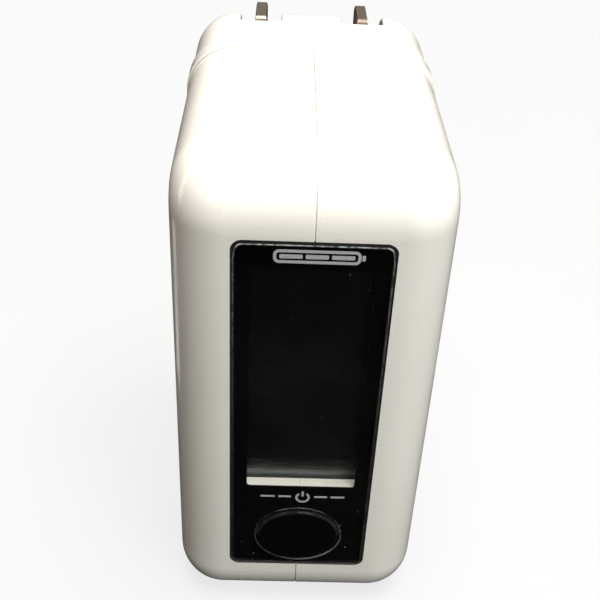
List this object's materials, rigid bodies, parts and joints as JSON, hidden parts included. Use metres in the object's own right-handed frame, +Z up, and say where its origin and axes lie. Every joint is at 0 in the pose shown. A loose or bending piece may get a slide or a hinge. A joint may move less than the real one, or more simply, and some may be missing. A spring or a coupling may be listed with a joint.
{
  "type": "pocket power bank",
  "caption": "Small upright power bank with a dark display window, an oval power button, a folding two-blade wall plug at the back and a charging socket underneath.",
  "frame": {"origin": "centre of the flat base, on the parting plane of the two front shells and midway between the front and back faces", "axes": "+Z up, -Y out of the display window, +Y out of the unfolded plug, +X to the right seen from the front"},
  "size_m": [0.0296, 0.0466, 0.0618],
  "materials": {
    "shell_white": "glossy moulded",
    "clear_acrylic": "polished, clear",
    "printed_black": "screen printed",
    "button_black": "glossy moulded",
    "frame_black": "moulded",
    "lcd_glass": "polished",
    "diffuser_white": "satin",
    "grey_rubber": "ribbed",
    "circuit_board": "lacquered laminate",
    "chip_black": "moulded",
    "tinned": "tinned",
    "steel": "zinc plated",
    "chip_ceramic": "fired",
    "disc_blue": "lacquered",
    "can_aluminium": "drawn can",
    "ferrite": "sintered",
    "coil_tape": "wound tape",
    "bobbin_black": "moulded",
    "fuse_grey": "lacquered",
    "pouch_foil": "satin laminate foil",
    "foam_dark": "open cell",
    "amber_tape": "film",
    "insulating_paper": "pressed",
    "nickel_strip": "nickel",
    "wire_red": "insulated wire",
    "wire_black": "insulated wire",
    "wire_white": "insulated wire",
    "blade_metal": "nickel-plated brass",
    "pivot_dark": "moulded",
    "spring_steel": "rolled",
    "contact_brass": "stamped"
  },
  "bodies": {
    "case": {"battery_lead_black": "wire_black", "battery_lead_red": "wire_red", "board_harness": "wire_white", "boost_chip": "chip_black", "boost_inductor": "ferrite", "bridge_rectifier": "chip_black", "case_screws": "steel", "cell_tabs": "nickel_strip", "cell_tape": "amber_tape", "chip_capacitors": "chip_ceramic", "chip_pins": "tinned", "chip_resistors": "chip_black", "control_board": "circuit_board", "control_board_screws": "steel", "control_chip": "chip_black", "detent_spring": "spring_steel", "display_backlight": "diffuser_white", "display_connector": "grey_rubber", "display_frame": "frame_black", "display_front_glass": "lcd_glass", "display_rear_glass": "lcd_glass", "foam_pads": "foam_dark", "front_cell": "pouch_foil", "fuse_resistor": "fuse_grey", "input_capacitors": "can_aluminium", "insulation_sheet": "insulating_paper", "isolator_chip": "chip_black", "left_shell": "shell_white", "mains_leads": "wire_white", "output_capacitor": "can_aluminium", "plug_contacts": "contact_brass", "plug_retainer": "bobbin_black", "power_board": "circuit_board", "power_board_screws": "steel", "power_chip": "chip_black", "protection_board": "circuit_board", "protection_chips": "chip_black", "rear_cell": "pouch_foil", "rear_cover": "shell_white", "retainer_screws": "steel", "right_shell": "shell_white", "safety_capacitor": "disc_blue", "switch_body": "chip_black", "switch_cover": "steel", "switch_terminals": "tinned", "transformer_bobbin": "bobbin_black", "transformer_coil": "coil_tape", "transformer_core": "ferrite", "usb_contacts": "contact_brass", "usb_shell": "tinned", "usb_tongue": "frame_black", "window_mask": "printed_black", "window_panel": "clear_acrylic"},
    "plug": {"plug_pivot": "pivot_dark", "left_blade": "blade_metal", "right_blade": "blade_metal"},
    "button": {"power_button": "button_black"},
    "plunger": {"switch_plunger": "frame_black"}
  },
  "joints": [
    {"name": "plug_fold", "type": "hinge", "parent": "case", "child": "plug", "pos_m": [0, 0.01955, 0.0411], "axis": [-1, 0, 0], "range_deg": [0, 90]},
    {"name": "button_press", "type": "slide", "parent": "case", "child": "button", "axis": [0, 1, 0], "range_m": [0, 0.0004]},
    {"name": "plunger_press", "type": "slide", "parent": "case", "child": "plunger", "axis": [0, 1, 0], "range_m": [0, 0.0004]}
  ],
  "couplings": [
    {"joint": "plunger_press", "follows": "button_press", "ratio": 1}
  ]
}
